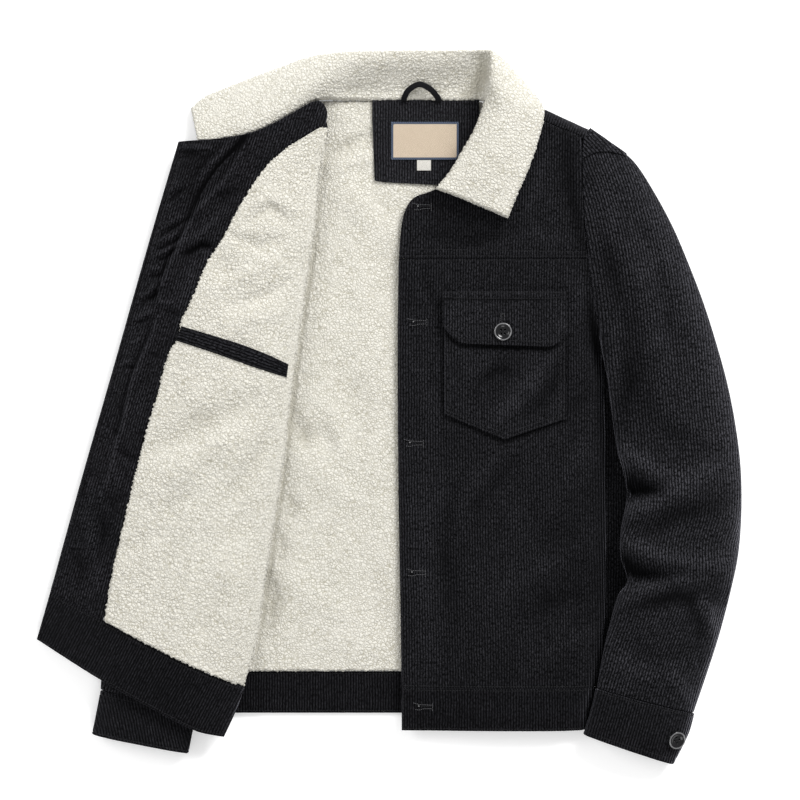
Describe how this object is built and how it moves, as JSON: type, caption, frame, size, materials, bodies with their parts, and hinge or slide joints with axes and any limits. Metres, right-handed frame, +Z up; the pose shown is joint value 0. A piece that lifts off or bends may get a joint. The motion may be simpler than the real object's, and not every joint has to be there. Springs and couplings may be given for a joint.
{
  "type": "sherpa lined jacket",
  "caption": "Corduroy button-up jacket with a deep pile lining and collar, laid flat on its back with one front opened out to show the lining.",
  "frame": {"origin": "centre of the bounding box, on the surface that the jacket lies on", "axes": "+X towards the wearer's left sleeve, +Y towards the collar, +Z up, away from the surface"},
  "size_m": [0.7764, 0.7851, 0.0477],
  "materials": {
    "corduroy": "black wide-wale cotton corduroy",
    "sherpa": "off-white curly pile",
    "tape": "black folded cotton strap",
    "label": "woven satin label with a dark border",
    "tab": "woven off-white tab",
    "button": "polished black resin"
  },
  "bodies": {
    "root": {"back_panel": "corduroy", "back_yoke": "corduroy", "back_hem_band": "corduroy", "neck_strip": "corduroy", "neck_patch": "corduroy", "left_front": "corduroy", "left_front_yoke": "corduroy", "left_front_hem_band": "corduroy", "chest_pocket": "corduroy", "pocket_flap": "corduroy", "left_sleeve": "corduroy", "left_sleeve_cap": "corduroy", "left_cuff": "corduroy", "right_front_shell": "corduroy", "right_front_facing": "corduroy", "right_front_hem_band": "corduroy", "inner_pocket_welt": "corduroy", "side_fold": "corduroy", "right_sleeve": "corduroy", "right_cuff": "corduroy", "under_collar": "corduroy", "back_lining": "sherpa", "right_front_lining": "sherpa", "collar_pile": "sherpa", "hanging_loop": "tape", "neck_label": "label", "size_tab": "tab", "pocket_button": "button", "cuff_button": "button", "front_button_1": "button", "front_button_2": "button", "front_button_3": "button", "front_button_4": "button", "front_button_5": "button"}
  },
  "joints": []
}
